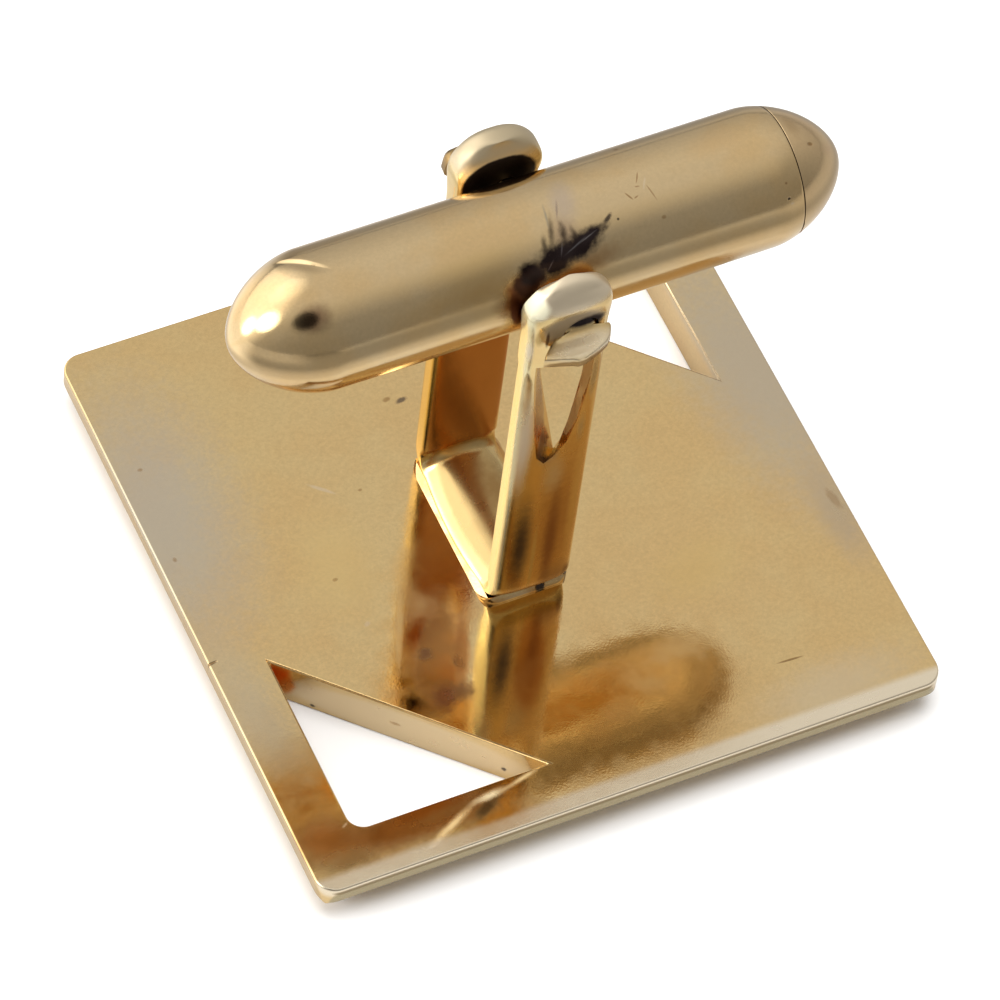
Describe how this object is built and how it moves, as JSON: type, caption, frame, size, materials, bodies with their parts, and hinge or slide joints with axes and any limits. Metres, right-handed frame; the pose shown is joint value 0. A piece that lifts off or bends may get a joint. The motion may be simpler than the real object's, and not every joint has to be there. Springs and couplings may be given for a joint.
{
  "type": "cufflink",
  "caption": "Square pierced cufflink with a folded strip post and a turning torpedo toggle that closes behind the cuff.",
  "frame": {"origin": "centre of the plate's front face, the face that shows when the link is worn and that it lies on here", "axes": "+Z out of the back of the plate, along the post; +X along the closed toggle, towards its nose cap; +Y along the pivot pin"},
  "size_m": [0.019, 0.019, 0.0166],
  "materials": {
    "plate_gold": "gold-plated brass, brushed and worn",
    "post_gold": "gold-plated brass strip, polished",
    "solder_gold": "hard solder, bright with dark pits",
    "pin_gold": "gold-plated wire, squashed at both ends",
    "toggle_gold": "gold-plated brass tube, satin with bright ends",
    "spring_steel": "plain spring strip"
  },
  "bodies": {
    "face_and_post": {"face_plate": "plate_gold", "post_bracket": "post_gold", "solder_seam": "solder_gold", "pivot_pin": "pin_gold"},
    "toggle": {"torpedo_shell": "toggle_gold", "nose_cap": "toggle_gold", "detent_spring": "spring_steel"}
  },
  "joints": [
    {"name": "toggle_turn", "type": "hinge", "parent": "face_and_post", "child": "toggle", "pos_m": [0, 0, 0.0146], "axis": [0, 1, 0], "continuous": true, "deforming": ["detent_spring"]}
  ]
}
